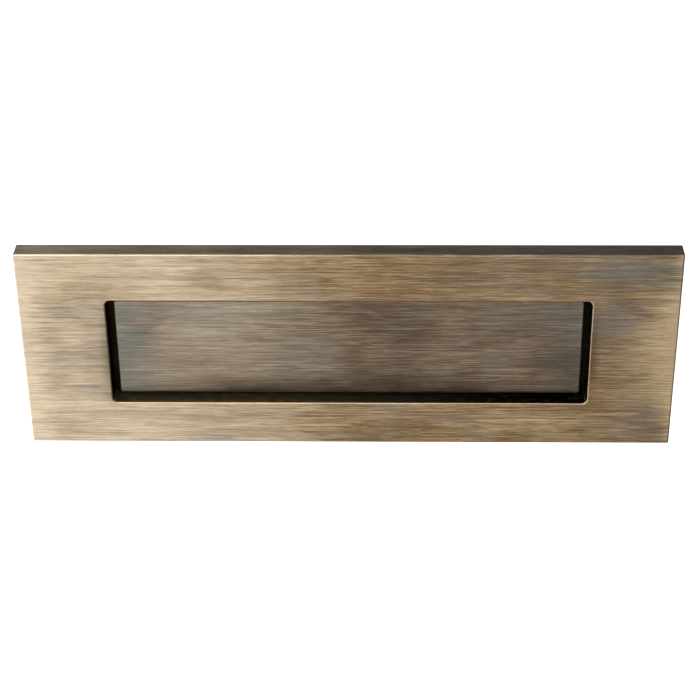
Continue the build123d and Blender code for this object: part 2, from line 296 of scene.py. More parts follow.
def brushed_brass(
    name,
    cream,
    gold,
    brown,
    grey,
    left_wear_and_light,
    right_wear_and_light,
    worn,
    tarnished,
    darkened,
    shade=1.0,
    painted_edge_shade=(),
    painted_depth_light=NO_PAINTED_DEPTH_LIGHT,
):
    """Antique brass brushed from end to end: worn bright streaks through brown and grey.

    The worn streaks are cream at the left end and gold at the right. The wear set for each end is
    partly real wear and partly painted light, brighter where the light falls from the left.
    worn, tarnished and darkened hold soft clouds, each an x, z, half width and half height in
    millimetres and a strength. The edge bands hold painted shade along an edge, each an axis, two
    places and a strength. The depth setting is painted light: two depths and the shade at each.
    """
    finish = Finish(name)
    marks = Brushing(finish)
    bright = finish.mix(finish.spread(finish.along.outputs["X"], -90 * MM, 70 * MM), cream, gold)
    colour = finish.mix(marks.wear(left_wear_and_light, right_wear_and_light, worn), brown, bright)
    colour = finish.mix(marks.tarnish(tarnished), colour, grey)
    tone = marks.tone(shade, darkened, painted_edge_shade, painted_depth_light)
    toned = finish.add("ShaderNodeCombineColor", Red=tone, Green=tone, Blue=tone)
    colour = finish.mix(1.0, colour, toned.outputs[0], "MULTIPLY")

    relief = finish.bump(marks.strand, 0.008 * MM)
    relief = finish.bump(marks.hair, 0.005 * MM, relief)
    tangent = finish.add("ShaderNodeCombineXYZ", X=1.0, Y=0.02, Z=0.01)
    return finish.surface(
        Base_Color=colour,
        Metallic=1.0,
        Roughness=finish.spread(marks.streak, 0.35, 0.65, 0.36, 0.46),
        Anisotropic=0.8,
        Anisotropic_Rotation=0.25,
        Tangent=tangent.outputs[0],
        Normal=relief,
    )


def blackened_brass(name, left_black, black, rubbed_highlight, rub_highlight_from, rub_highlight_to):
    """Patina left thick in a recess, lighter to the left, worn back to brass towards the front: the
    lighter left is partly thinner patina and partly painted light, and the worn front edge is
    partly wear and partly a painted highlight.
    """
    finish = Finish(name)
    mottle = finish.grain((5 * MM, 2 * MM, 2 * MM), detail=4.0, roughness=0.6)
    # lighter towards the left; on the recess floor this is painted light from the left
    thin = finish.spread(finish.along.outputs["X"], -60 * MM, 100 * MM)
    # towards the front edge the patina is worn back to bright brass: partly wear, partly a painted
    # highlight along the arris
    rub_and_highlight = finish.spread(finish.along.outputs["Y"], rub_highlight_from, rub_highlight_to, 1.0, 0.0)
    rub_and_highlight = finish.math("ADD", rub_and_highlight, finish.spread(mottle, 0.35, 0.75, -0.12, 0.12), clamp=True)
    return finish.surface(
        Base_Color=finish.mix(rub_and_highlight, finish.mix(thin, left_black, black), rubbed_highlight),
        Metallic=finish.spread(rub_and_highlight, 0.0, 1.0, 0.9, 1.0),
        Roughness=finish.spread(mottle, 0.3, 0.7, 0.42, 0.6),
        Normal=finish.bump(mottle, 0.03 * MM),
    )


def cast_brass(name, low, high):
    """The rough back of a casting: sand grain, dull brown and yellow brass."""
    finish = Finish(name)
    sand = finish.grain((0.30 * MM,) * 3, detail=4.0, roughness=0.65)
    lump = finish.grain((1.6 * MM,) * 3, detail=3.0, roughness=0.6, shift=6.0)
    stain = finish.grain((22 * MM,) * 3, detail=5.0, roughness=0.7, shift=2.0)
    tone = finish.total(finish.product(stain, 0.55), finish.product(lump, 0.45))
    colour = finish.mix(finish.spread(tone, 0.36, 0.66), low, high)
    pitted = finish.spread(sand, 0.56, 0.74, 0.0, 0.45)
    pit_brown = (0.05, 0.035, 0.02)
    colour = finish.mix(pitted, colour, pit_brown)
    relief = finish.bump(lump, 0.12 * MM)
    return finish.surface(
        Base_Color=colour,
        Metallic=1.0,
        Roughness=finish.spread(tone, 0.3, 0.7, 0.48, 0.64),
        Normal=finish.bump(sand, 0.08 * MM, relief),
    )


def drawn_metal(name, clean, dull, roughness):
    """Plain worked metal with fine tool lines and a thin uneven tarnish."""
    finish = Finish(name)
    lines = finish.grain((0.12 * MM, 3 * MM, 3 * MM), detail=3.0)
    tarnish = finish.grain((3.5 * MM,) * 3, detail=4.0, roughness=0.6, shift=4.0)
    return finish.surface(
        Base_Color=finish.mix(finish.spread(tarnish, 0.35, 0.7), clean, dull),
        Metallic=1.0,
        Roughness=finish.spread(tarnish, 0.3, 0.7, roughness - 0.05, roughness + 0.1),
        Normal=finish.bump(lines, 0.006 * MM),
    )


def moulded(name, light, dark, roughness, texture, depth, glow=0.0):
    """Moulded nylon or rubber with a fine even texture of the given grain and depth."""
    finish = Finish(name)
    skin = finish.grain((texture,) * 3, detail=3.0)
    cloud = finish.grain((4 * MM,) * 3, detail=2.0, shift=5.0)
    finish.shader.inputs["Subsurface Radius"].default_value = (1.0, 0.9, 0.7)
    return finish.surface(
        Base_Color=finish.mix(finish.spread(cloud, 0.3, 0.7), light, dark),
        Roughness=finish.spread(skin, 0.3, 0.7, roughness - 0.06, roughness + 0.06),
        Subsurface_Weight=glow,
        Subsurface_Scale=1.0 * MM,
        Normal=finish.bump(skin, depth),
    )


plate_brass = brushed_brass(
    "brushed_plate_brass",
    cream=(0.85, 0.70, 0.50),
    gold=(0.86, 0.65, 0.39),
    brown=(0.325, 0.202, 0.097),
    grey=(0.31, 0.278, 0.235),
    # more wear at the left than at the right: partly real wear, partly painted light from the left
    left_wear_and_light=0.62,
    right_wear_and_light=0.10,
    worn=[
        # the clouds at x = -155, -154, 162 and 157 mm brighten both ends of the face: partly wear,
        # partly a painted highlight along each end
        (-155, 0, 22, 200, 0.5),
        (-154, 0, 8, 400, 0.3),
        (-95, 40, 34, 20, 0.22),
        (-100, -42, 40, 20, 0.18),
        (162, 5, 40, 72, 1.2),
        (157, 0, 13, 400, 0.6),
        (88, -38, 44, 16, 0.30),
        (124, -40, 26, 12, 0.22),
    ],
    tarnished=[
        (121, 17, 20, 16, 0.85),
        (132, 42, 40, 15, 1.0),
        (132, 19, 16, 14, 0.35),
        (80, 42, 60, 14, 0.2),
        (-125, 20, 34, 8, 0.4),
        (-134, -2, 30, 9, 0.4),
        (-118, -22, 32, 9, 0.45),
        (138, -40, 20, 18, 0.45),
        (20, -38, 16, 14, 0.2),
    ],
    darkened=[
        (121, 19, 16, 14, 0.10),
        (35, -40, 50, 14, 0.05),
        (-22, 38, 30, 16, 0.22),
        (-62, 38, 26, 14, 0.06),
        (48, 38, 36, 16, 0.18),
        (-70, -40, 44, 14, 0.08),
        (116, 0, 16, 22, 0.14),
        (143, -40, 14, 18, 0.06),
        (-112, -1, 6, 38, 0.3),
        (-110, -1, 22, 36, 0.3),
        (112, 0, 7, 36, 0.45),
    ],
)
side_brass = brushed_brass(
    "brushed_side_brass",
    cream=(0.66, 0.54, 0.40),
    gold=(0.66, 0.54, 0.40),
    brown=(0.28, 0.235, 0.195),
    grey=(0.30, 0.285, 0.26),
    left_wear_and_light=0.5,
    right_wear_and_light=0.12,
    worn=[(-148, 51, 30, 200, 0.6)],
    tarnished=[(-153, 51, 10, 200, 0.4), (110, 51, 130, 70, 0.8)],
    darkened=[(130, 51, 120, 200, 0.1), (-30, 51, 50, 200, 0.1)],
    # painted light: the plate's edges are drawn brighter from the front towards the back
    painted_depth_light=(plate_low.y + 1 * MM, plate_high.y, 0.92, 1.42),
)
flap_brass = brushed_brass(
    "brushed_flap_brass",
    cream=(0.59, 0.49, 0.365),
    gold=(0.60, 0.47, 0.33),
    brown=(0.235, 0.163, 0.105),
    grey=(0.232, 0.238, 0.203),
    left_wear_and_light=0.42,
    right_wear_and_light=0.08,
    worn=[
        (-62, 9, 40, 22, 0.28),
        (-68, 22, 50, 9, 0.22),
        (-36, 20, 36, 12, 0.42),
        (60, -4, 60, 12, 0.05),
        (104, 21, 34, 9, 0.24),
    ],
    tarnished=[
        (-114, 0, 32, 70, 1.0),
        (-66, 20, 56, 14, 0.35),
        (84, 18, 34, 14, 0.4),
        (-20, -4, 24, 16, 0.35),
        (108, 0, 24, 50, 0.5),
    ],
    darkened=[
        (8, -18, 36, 20, 0.2),
        # the long band low on the panel and the clouds beside it are a painted reflection of the
        # dark recess floor: the panel darkens towards the bottom
        (10, -28, 170, 18, 0.36),
        (-66, -24, 50, 10, 0.28),
        (-32, -22, 34, 14, 0.26),
        (48, -24, 44, 14, 0.26),
        (20, 14, 30, 22, 0.22),
        (25, -4, 22, 44, 0.16),
        (102, -8, 22, 24, 0.2),
    ],
    # the panel is darker than the plate overall: partly heavier patina, partly painted shade of the
    # recess
    shade=0.93,
    # painted shade along the panel's bottom edge, over its lowest 2.7 mm
    painted_edge_shade=[("Z", panel_bottom + 2.7 * MM, panel_bottom - 0.1 * MM, 0.62)],
)
thick_patina = (0.006, 0.005, 0.004)
rubbed_highlight_from = plate_low.y + 0.25 * opening_arris
rubbed_highlight_to = plate_low.y + 0.9 * opening_arris
recess_brass = blackened_brass(
    "blackened_recess",
    left_black=thick_patina,
    black=(0.008, 0.006, 0.004),
    rubbed_highlight=(0.62, 0.47, 0.28),
    rub_highlight_from=rubbed_highlight_from,
    rub_highlight_to=rubbed_highlight_to,
)
# the top lip's front edge is painted bright brass: partly wear, partly a painted highlight where
# the arris catches the light
lip_brass = blackened_brass(
    "rubbed_highlit_top_lip",
    left_black=thick_patina,
    black=(0.008, 0.006, 0.004),
    rubbed_highlight=(0.98, 0.78, 0.48),
    rub_highlight_from=plate_low.y + 0.8 * opening_arris,
    rub_highlight_to=plate_low.y + 1.4 * opening_arris,
)
# painted light: the recess floor is lit brown towards the left, where the light falls, and black to
# the right
recess_floor_brass = blackened_brass(
    "recess_floor_lit_brown_at_left",
    left_black=(0.19, 0.147, 0.082),
    black=(0.004, 0.003, 0.002),
    rubbed_highlight=(0.72, 0.56, 0.35),
    rub_highlight_from=rubbed_highlight_from,
    rub_highlight_to=rubbed_highlight_to,
)
flap_side_brass = blackened_brass(
    "blackened_flap_sides",
    left_black=(0.020, 0.014, 0.008),
    black=(0.010, 0.007, 0.004),
    rubbed_highlight=(0.30, 0.21, 0.13),
    rub_highlight_from=flap_low.y + 0.1 * MM,
    rub_highlight_to=flap_low.y + 0.9 * MM,
)
cast_back = cast_brass("cast_back_brass", (0.26, 0.18, 0.095), (0.47, 0.35, 0.19))
rod_brass = drawn_metal("drawn_rod_brass", (0.72, 0.54, 0.28), (0.45, 0.31, 0.15), 0.3)
nut_brass = drawn_metal("turned_nut_brass", (0.66, 0.49, 0.26), (0.36, 0.25, 0.13), 0.3)
zinc_plate = drawn_metal("zinc_plated_steel", (0.62, 0.62, 0.60), (0.44, 0.43, 0.38), 0.32)
spring_wire = drawn_metal("spring_wire_steel", (0.56, 0.56, 0.57), (0.33, 0.32, 0.31), 0.25)
clip_black = drawn_metal("phosphated_clip_steel", (0.05, 0.05, 0.055), (0.02, 0.02, 0.02), 0.45)
nylon = moulded(
    "natural_nylon",
    light=(0.78, 0.76, 0.68),
    dark=(0.70, 0.67, 0.57),
    roughness=0.42,
    texture=0.2 * MM,
    depth=0.01 * MM,
    glow=0.3,
)
rubber = moulded(
    "black_rubber",
    light=(0.028, 0.028, 0.03),
    dark=(0.016, 0.016, 0.017),
    roughness=0.68,
    texture=0.15 * MM,
    depth=0.02 * MM,
)


# ---------------------------------------------------------------- bench work
def alone(piece):
    """Make this piece the only one that the next operator works on."""
    bpy.ops.object.select_all(action="DESELECT")
    piece.select_set(True)
    bpy.context.view_layer.objects.active = piece


def edit(piece, choose=None, kind="FACE"):
    """Open a piece in edit mode with the chosen faces, edges or corners selected."""
    alone(piece)
    bpy.ops.object.mode_set(mode="EDIT")
    bpy.ops.mesh.select_mode(type=kind)
    bpy.ops.mesh.select_all(action="SELECT" if choose is None else "DESELECT")
    if choose is None:
        return
    bpy.ops.object.mode_set(mode="OBJECT")
    mesh = piece.data
    corners = mesh.vertices
    if kind == "FACE":
        for face in mesh.polygons:
            face.select = choose(face.center, face.normal)
    elif kind == "EDGE":
        for edge in mesh.edges:
            first, second = (corners[i].co for i in edge.vertices)
            edge.select = choose(first, second)
    else:
        for corner in corners:
            corner.select = choose(corner.co)
    bpy.ops.object.mode_set(mode="EDIT")


def done():
    bpy.ops.object.mode_set(mode="OBJECT")


def named(name):
    """Name the new primitive and put its place and turn into its mesh."""
    piece = bpy.context.active_object
    piece.name = name
    piece.data.name = name
    bpy.ops.object.transform_apply(location=True, rotation=True, scale=True)
    return piece


def modify(piece, kind, **settings):
    """Put one modifier on a piece and apply it."""
    alone(piece)
    modifier = piece.modifiers.new(kind.lower(), kind)
    for name, value in settings.items():
        setattr(modifier, name, value)
    bpy.ops.object.modifier_apply(modifier=modifier.name)


def tidy(piece, gap=0.001 * MM):
    """Close seams and turn every face outwards."""
    edit(piece)
    bpy.ops.mesh.remove_doubles(threshold=gap)
    bpy.ops.mesh.normals_make_consistent(inside=False)
    done()


def smooth(piece, angle=35):
    alone(piece)
    bpy.ops.object.shade_smooth_by_angle(angle=radians(angle))


def fit(piece, node, body, slot, *materials):
    """Give a piece its finish, and put it on its body in place of its CAD node."""
    if materials:
        piece.data.materials.clear()
        for material in materials:
            piece.data.materials.append(material)
    if body:
        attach(piece, body)
    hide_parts(node)


def mirrored(piece, name):
    """The same piece for the other side."""
    twin = bpy.data.objects.new(name, piece.data.copy())
    twin.data.name = name
    bpy.context.collection.objects.link(twin)
    twin.scale = (-1, 1, 1)
    alone(twin)
    bpy.ops.object.transform_apply(location=True, rotation=True, scale=True)
    tidy(twin)
    return twin


def softened_copy(node, name, softness):
    """A casting or stamping with its sharp edges eased, from the CAD shape."""
    one_face = radians(0.6)
    sharp_edge = radians(38)
    piece = bpy.data.objects.new(name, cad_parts[node].data.copy())
    piece.data.name = name
    bpy.context.collection.objects.link(piece)
    alone(piece)
    bpy.ops.mesh.customdata_custom_splitnormals_clear()
    edit(piece)
    bpy.ops.mesh.remove_doubles(threshold=0.002 * MM)
    bpy.ops.mesh.mark_sharp(clear=True)
    bpy.ops.mesh.dissolve_limited(angle_limit=one_face)
    bpy.ops.mesh.normals_make_consistent(inside=False)
    done()
    modify(
        piece,
        "BEVEL",
        width=softness,
        segments=2,
        limit_method="ANGLE",
        angle_limit=sharp_edge,
        use_clamp_overlap=True,
    )
    smooth(piece)
    modify(piece, "WEIGHTED_NORMAL", keep_sharp=True, weight=80)
    return piece


def ring(name, axis, centre, bore, rim, thickness, easing, steps=48):
    """A washer or sleeve: its section is eased at the corners and spun about an axis."""
    middle = (bore + rim) / 2
    if axis == "Y":
        place = centre + Vector((middle, 0, 0))
        size = (rim - bore, thickness, 1)
        around = (0, 1, 0)
    else:
        place = centre + Vector((0, middle, 0))
        size = (thickness, rim - bore, 1)
        around = (1, 0, 0)
    bpy.ops.object.select_all(action="DESELECT")
    bpy.ops.mesh.primitive_plane_add(size=1, location=place)
    bpy.context.active_object.scale = size
    piece = named(name)
    edit(piece, kind="VERT")
    bpy.ops.mesh.bevel(offset=easing, segments=2, affect="VERTICES")
    bpy.ops.mesh.select_all(action="SELECT")
    bpy.ops.mesh.delete(type="ONLY_FACE")
    bpy.ops.mesh.select_all(action="SELECT")
    bpy.ops.mesh.spin(steps=steps, angle=2 * pi, center=centre, axis=around)
    done()
    tidy(piece)
    smooth(piece, 50)
    return piece


def turned_bar(name, axis, start, radius, steps, sides=40):
    """A bar turned on a lathe: a short cylinder, then steps of length and new radius."""
    along = Vector((1, 0, 0)) if axis == "X" else Vector((0, 1, 0))
    turn = (0, pi / 2, 0) if axis == "X" else (-pi / 2, 0, 0)
    first = steps[0][0]
    bpy.ops.object.select_all(action="DESELECT")
    bpy.ops.mesh.primitive_cylinder_add(
        vertices=sides,
        radius=radius,
        depth=first,
        location=start + along * first / 2,
        rotation=turn,
    )
    piece = named(name)
    reach = start.dot(along) + first

    def at_end(centre, normal):
        return abs(centre.dot(along) - reach) < NEAR and normal.dot(along) > 0.9

    edit(piece, at_end)
    wide = radius
    for length, new_radius in steps[1:]:
        share = new_radius / wide
        grow = (1, share, share) if axis == "X" else (share, 1, share)
        bpy.ops.mesh.extrude_region_move(TRANSFORM_OT_translate={"value": along * length})
        bpy.ops.transform.resize(value=grow)
        wide = new_radius
    done()
    return piece


# ---------------------------------------------------------------- castings
def in_opening(point):
    """Whether a point lies on the opening's wall or its front arris."""
    across = abs(point.x) < opening_half_width + opening_arris
    up = opening_bottom - opening_arris < point.z < opening_top + opening_arris
    return across and up


past_arris = 1 * MM
front_skin = 0.05 * MM
plate_edge_back = -0.3 * MM
opening_wall_back = -0.2 * MM
panel_side_back = flange_front - 0.1 * MM
flange_skin = 0.2 * MM


def plate_finish(centre, normal):
    """Which of the plate's finishes a face gets, from where it is and how it faces."""
    outside_x = abs(centre.x) > plate_high.x - past_arris
    outside_z = abs(centre.z) > plate_high.z - past_arris
    if (outside_x or outside_z) and centre.y < plate_edge_back:
        return "front" if normal.y < -0.25 else "edge"
    if normal.y < -0.9 and centre.y < plate_low.y + front_skin:
        return "front"
    wall_x = abs(abs(centre.x) - opening_half_width) < opening_arris
    wall_z = min(abs(centre.z - opening_bottom), abs(centre.z - opening_top)) < opening_arris
    if in_opening(centre) and (wall_x or wall_z) and centre.y < opening_wall_back:
        if normal.z < -0.15 and centre.y < plate_low.y + 1.1 * opening_arris:
            return "lip"
        return "floor" if normal.z > 0.3 else "opening"
    return "back"


def flap_finish(centre, normal):
    """Which of the flap's finishes a face gets: its panel's sides and flange front are black."""
    if normal.y < -0.9 and centre.y < flap_low.y + front_skin:
        return "front"
    if centre.y < panel_side_back and centre.z < panel_top + past_arris and normal.y < 0.3:
        return "sides"
    if abs(centre.y - flange_front) < flange_skin and normal.y < -0.5:
        return "sides"
    return "back"


def face_by_face(piece, finishes, finish_of):
    """Give each face of a piece the finish that its place calls for."""
    order = list(finishes)
    for face in piece.data.polygons:
        face.material_index = order.index(finish_of(face.center, face.normal))


plate_finishes = {
    "front": plate_brass,
    "opening": recess_brass,
    "back": cast_back,
    "edge": side_brass,
    "floor": recess_floor_brass,
    "lip": lip_brass,
}
plate = softened_copy("face_plate", "brass_plate", casting_ease)
fit(plate, "face_plate", "plate", "antique_brass", *plate_finishes.values())
face_by_face(plate, plate_finishes, plate_finish)

flap_finishes = {"front": flap_brass, "sides": flap_side_brass, "back": cast_back}
flap = softened_copy("flap", "brass_flap", casting_ease)
fit(flap, "flap", "flap", "antique_brass", *flap_finishes.values())
face_by_face(flap, flap_finishes, flap_finish)


# ---------------------------------------------------------------- hinge
groove_depth = 0.5 * MM
groove_play = 0.05 * MM
rod_chamfer = 0.5 * MM
running_gap = 0.05 * MM
bush_wall = 1.0 * MM
bush_flange = 1.0 * MM
bush_ease = 0.15 * MM
clip_ease = 0.07 * MM
nylon_washer_ease = 0.12 * MM

clip_low, clip_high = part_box("retaining_clip_right")
groove_length = clip_high.x - clip_low.x + 2 * groove_play
groove_start = clip_low.x - groove_play
rod_land = rod_high.x - groove_start - groove_length

half_rod_steps = [
    (groove_start, rod_radius),
    (0, rod_radius - groove_depth),
    (groove_length, rod_radius - groove_depth),
    (0, rod_radius),
    (rod_land - rod_chamfer, rod_radius),
    (rod_chamfer, rod_radius - rod_chamfer),
]
rod = turned_bar("brass_rod", "X", hinge, rod_radius, half_rod_steps)
edit(rod, lambda centre, normal: centre.x < NEAR and normal.x < -0.9)
bpy.ops.mesh.delete(type="FACE")
done()
modify(rod, "MIRROR", use_axis=(True, False, False), merge_threshold=NEAR)
tidy(rod, 0.0001 * MM)
smooth(rod, 30)
fit(rod, "hinge_rod", "plate", "drawn_brass", rod_brass)

for name, side in SIDES.items():
    clip = softened_copy(f"retaining_clip_{name}", f"steel_clip_{name}", clip_ease)
    fit(clip, f"retaining_clip_{name}", "plate", "clip_steel", clip_black)

    low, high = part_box(f"thrust_washer_{name}")
    middle = Vector(((low.x + high.x) / 2, hinge.y, hinge.z))
    washer = ring(
        f"nylon_washer_{name}",
        "X",
        middle,
        bore=rod_radius + running_gap,
        rim=(high.z - low.z) / 2,
        thickness=high.x - low.x,
        easing=nylon_washer_ease,
    )
    fit(washer, f"thrust_washer_{name}", "plate", "nylon", nylon)


def flanged_bush(name, inner_x, outer_x, bore, barrel, flange, flange_thickness, side):
    """A sleeve with a flange at its outer end, spun from an L-shaped section."""
    shoulder_x = outer_x - side * flange_thickness
    middle = Vector(((inner_x + shoulder_x) / 2, hinge.y + (bore + barrel) / 2, hinge.z))
    bpy.ops.object.select_all(action="DESELECT")
    bpy.ops.mesh.primitive_plane_add(size=1, location=middle)
    bpy.context.active_object.scale = (abs(shoulder_x - inner_x), barrel - bore, 1)
    bush = named(name)

    def at_shoulder(first, second):
        return max(abs(first.x - shoulder_x), abs(second.x - shoulder_x)) < NEAR

    def flange_rim(first, second):
        out = min(side * first.x, side * second.x) > side * shoulder_x - NEAR
        return out and min(first.y, second.y) > hinge.y + barrel - NEAR

    edit(bush, at_shoulder, "EDGE")
    bpy.ops.mesh.extrude_region_move(
        TRANSFORM_OT_translate={"value": (side * flange_thickness, 0, 0)}
    )
    done()
    edit(bush, flange_rim, "EDGE")
    bpy.ops.mesh.extrude_region_move(TRANSFORM_OT_translate={"value": (0, flange - barrel, 0)})
    bpy.ops.mesh.select_all(action="SELECT")
    bpy.ops.mesh.dissolve_limited(angle_limit=radians(1))
    bpy.ops.mesh.bevel(offset=bush_ease, segments=2, affect="VERTICES")
    bpy.ops.mesh.select_all(action="SELECT")
    bpy.ops.mesh.delete(type="ONLY_FACE")
    bpy.ops.mesh.select_all(action="SELECT")
    bpy.ops.mesh.spin(steps=48, angle=2 * pi, center=hinge, axis=(1, 0, 0))
    done()
    tidy(bush)
    smooth(bush, 50)
    return bush


for name, side in SIDES.items():
    low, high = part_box(f"hinge_bush_{name}")
    inner_x, outer_x = (low.x, high.x) if side > 0 else (high.x, low.x)
    bush = flanged_bush(
        f"nylon_bush_{name}",
        inner_x,
        outer_x,
        bore=rod_radius + running_gap,
        barrel=rod_radius + running_gap + bush_wall,
        flange=(high.z - low.z) / 2,
        flange_thickness=bush_flange,
        side=side,
    )
    fit(bush, f"hinge_bush_{name}", "flap", "nylon", nylon)


# ---------------------------------------------------------------- springs
wire_radius = 0.55 * MM
wire_sides = 12
at_wire = 1.02 * wire_radius
steps_per_turn = 30
coil_gap = 0.6 * MM
coil_radius = rod_radius + coil_gap + wire_radius
coil_start_x = 4.15 * MM
coil_end_x = 13.35 * MM
whole_turns = 8
tang_bend = 0.6 * MM
tang_end_x = 1.3 * MM
tang_steps = 6
tang_share = 0.9
leg_gap = 0.05 * MM
tip_ease = 0.2 * MM
tip_share = 0.7
tip_inset = 0.1 * MM


def wound_spring(name, leg_tip_y, leg_tip_z):
    """One wire: a tang into the lug, close turns round the rod, and a straight leg."""
    span = Vector((hinge.y - leg_tip_y, hinge.z - leg_tip_z)).length
    leg_length = sqrt(span**2 - coil_radius**2)
    leg_rise = atan2(hinge.z - leg_tip_z, hinge.y - leg_tip_y) - atan2(coil_radius, leg_length)
    start_angle = atan2(coil_radius, tang_bend)
    end_angle = leg_rise - pi / 2
    turns = whole_turns + (start_angle - end_angle) / (2 * pi)

    # the wire's section, standing where the first turn starts
    bpy.ops.object.select_all(action="DESELECT")
    bpy.ops.mesh.primitive_circle_add(
        vertices=wire_sides,
        radius=wire_radius,
        location=(coil_start_x, hinge.y, hinge.z),
        rotation=(start_angle, 0, 0),
    )
    spring = bpy.context.active_object
    spring.name = name
    bpy.ops.object.transform_apply(location=False, rotation=True, scale=True)
    edit(spring)
    out = Vector((0, cos(start_angle), sin(start_angle)))
    bpy.ops.transform.translate(value=out * coil_radius)
    done()
    modify(
        spring,
        "SCREW",
        axis="X",
        angle=-turns * 2 * pi,
        screw_offset=coil_end_x - coil_start_x,
        steps=round(turns * steps_per_turn),
        render_steps=round(turns * steps_per_turn),
    )
    bpy.ops.object.transform_apply(location=True, rotation=True, scale=True)

    # the moving leg, straight off the last turn, its tip eased
    last = len(spring.data.vertices) - wire_sides
    turn_end = sum((v.co for v in spring.data.vertices[last:]), Vector()) / wire_sides
    edit(spring, lambda corner: (corner - turn_end).length < at_wire, "VERT")
    leg = Vector((0, -cos(leg_rise), -sin(leg_rise)))
    bpy.ops.mesh.extrude_region_move(
        TRANSFORM_OT_translate={"value": leg * (leg_length - tip_ease)}
    )
    bpy.ops.mesh.extrude_region_move(TRANSFORM_OT_translate={"value": leg * tip_ease})
    bpy.ops.transform.resize(value=(tip_share, tip_share, tip_share))
    bpy.ops.mesh.edge_face_add()
    done()

    # the fixed tang, bent along the rod and into the middle lug
    turn_start = Vector((coil_start_x, hinge.y, hinge.z)) + out * coil_radius
    edit(spring, lambda corner: (corner - turn_start).length < at_wire, "VERT")
    bpy.ops.mesh.spin(
        steps=tang_steps,
        angle=pi / 2,
        center=turn_start - Vector((tang_bend, 0, 0)),
        axis=out,
    )
    bent_x = coil_start_x - tang_bend
    bpy.ops.mesh.extrude_region_move(
        TRANSFORM_OT_translate={"value": (tang_end_x - bent_x, 0, 0)}
    )
    bpy.ops.transform.resize(value=(1, tang_share, tang_share))
    bpy.ops.mesh.edge_face_add()
    done()
    tidy(spring, 0.0005 * MM)
    smooth(spring, 60)
    return spring


spring_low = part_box("flap_spring_right")[0]
leg_tip_y = flange_back + wire_radius + leg_gap
leg_tip_z = spring_low.z + tip_inset
spring_right = wound_spring("wound_spring_right", leg_tip_y, leg_tip_z)
spring_left = mirrored(spring_right, "wound_spring_left")
for name, spring in (("left", spring_left), ("right", spring_right)):
    side = SIDES[name]
    fit(spring, f"flap_spring_{name}", None, "spring_steel", spring_wire)
    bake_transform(spring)


# ---------------------------------------------------------------- buffers
buffer_corner = 0.85 * MM
buffer_ease = 0.28 * MM
dish_inset = 0.3 * MM
dish_depth = 0.12 * MM


def fore_and_aft(first, second):
    """Whether an edge runs along Y."""
    return abs(first.y - second.y) > buffer_ease


for name in SIDES:
    low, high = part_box(f"flap_buffer_{name}")
    bpy.ops.object.select_all(action="DESELECT")
    bpy.ops.mesh.primitive_cube_add(size=1, location=(low + high) / 2)
    bpy.context.active_object.scale = high - low
    buffer = named(f"rubber_buffer_{name}")
    edit(buffer, fore_and_aft, "EDGE")
    bpy.ops.mesh.bevel(offset=buffer_corner, segments=5, affect="EDGES")
    done()
    edit(buffer, lambda centre, normal: normal.y < -0.9)
    bpy.ops.mesh.bevel(offset=buffer_ease, segments=3, affect="EDGES")
    bpy.ops.mesh.inset(thickness=dish_inset, depth=-dish_depth)
    done()
    tidy(buffer)
    smooth(buffer, 40)
    fit(buffer, f"flap_buffer_{name}", "flap", "buffer_rubber", rubber)


# ---------------------------------------------------------------- fixings
thread_pitch = 1.0 * MM
thread_depth = 0.58 * MM
thread_steps = 24
thread_crest = (-0.3 * thread_pitch, 0.05 * thread_pitch)
shank_radius = 2.65 * MM
shank_end = 0.01 * MM
shank_chamfer = 0.4 * MM
shank_taper = 0.6 * MM
shank_into_thread = 0.3 * MM
thread_start_y = 30 * MM
washer_gap = 0.2 * MM
washer_ease = 0.3 * MM
fixing_ease = 0.12 * MM


def rolled_thread(name, stud_x, start_y, end_y, crest):
    """A length of thread: one pitch of its outline, screwed along, and cut off square."""
    root = crest - thread_depth
    bpy.ops.object.select_all(action="DESELECT")
    bpy.ops.mesh.primitive_grid_add(x_subdivisions=1, y_subdivisions=4, size=1)
    outline = bpy.context.active_object
    outline.name = name
    outline.scale = (1, thread_pitch, 1)
    bpy.ops.object.transform_apply(location=True, rotation=True, scale=True)
    edit(outline, lambda corner: corner.x > 0, "VERT")
    bpy.ops.mesh.delete(type="VERT")
    bpy.ops.mesh.select_all(action="SELECT")
    bpy.ops.transform.translate(value=(0.5 + root, 0, 0))
    done()
    crest_start, crest_end = thread_crest
    edit(outline, lambda corner: crest_start < corner.y < crest_end, "VERT")
    bpy.ops.transform.translate(value=(thread_depth, 0, 0))
    done()
    turns = int((end_y - start_y) / thread_pitch) + 3
    modify(
        outline,
        "SCREW",
        axis="Y",
        angle=2 * pi,
        screw_offset=thread_pitch,
        iterations=turns,
        steps=thread_steps,
        render_steps=thread_steps,
        use_merge_vertices=True,
        merge_threshold=0.001 * MM,
    )
    outline.location = (stud_x, start_y - thread_pitch, 0)
    bpy.ops.object.transform_apply(location=True, rotation=True, scale=True)
    tidy(outline)
    for cut_y, outer in ((end_y, True), (start_y, False)):
        edit(outline)
        bpy.ops.mesh.bisect(
            plane_co=(stud_x, cut_y, 0),
            plane_no=(0, 1, 0),
            use_fill=True,
            clear_outer=outer,
            clear_inner=not outer,
        )
        done()
    tidy(outline, 0.0002 * MM)
    smooth(outline, 30)
    return outline


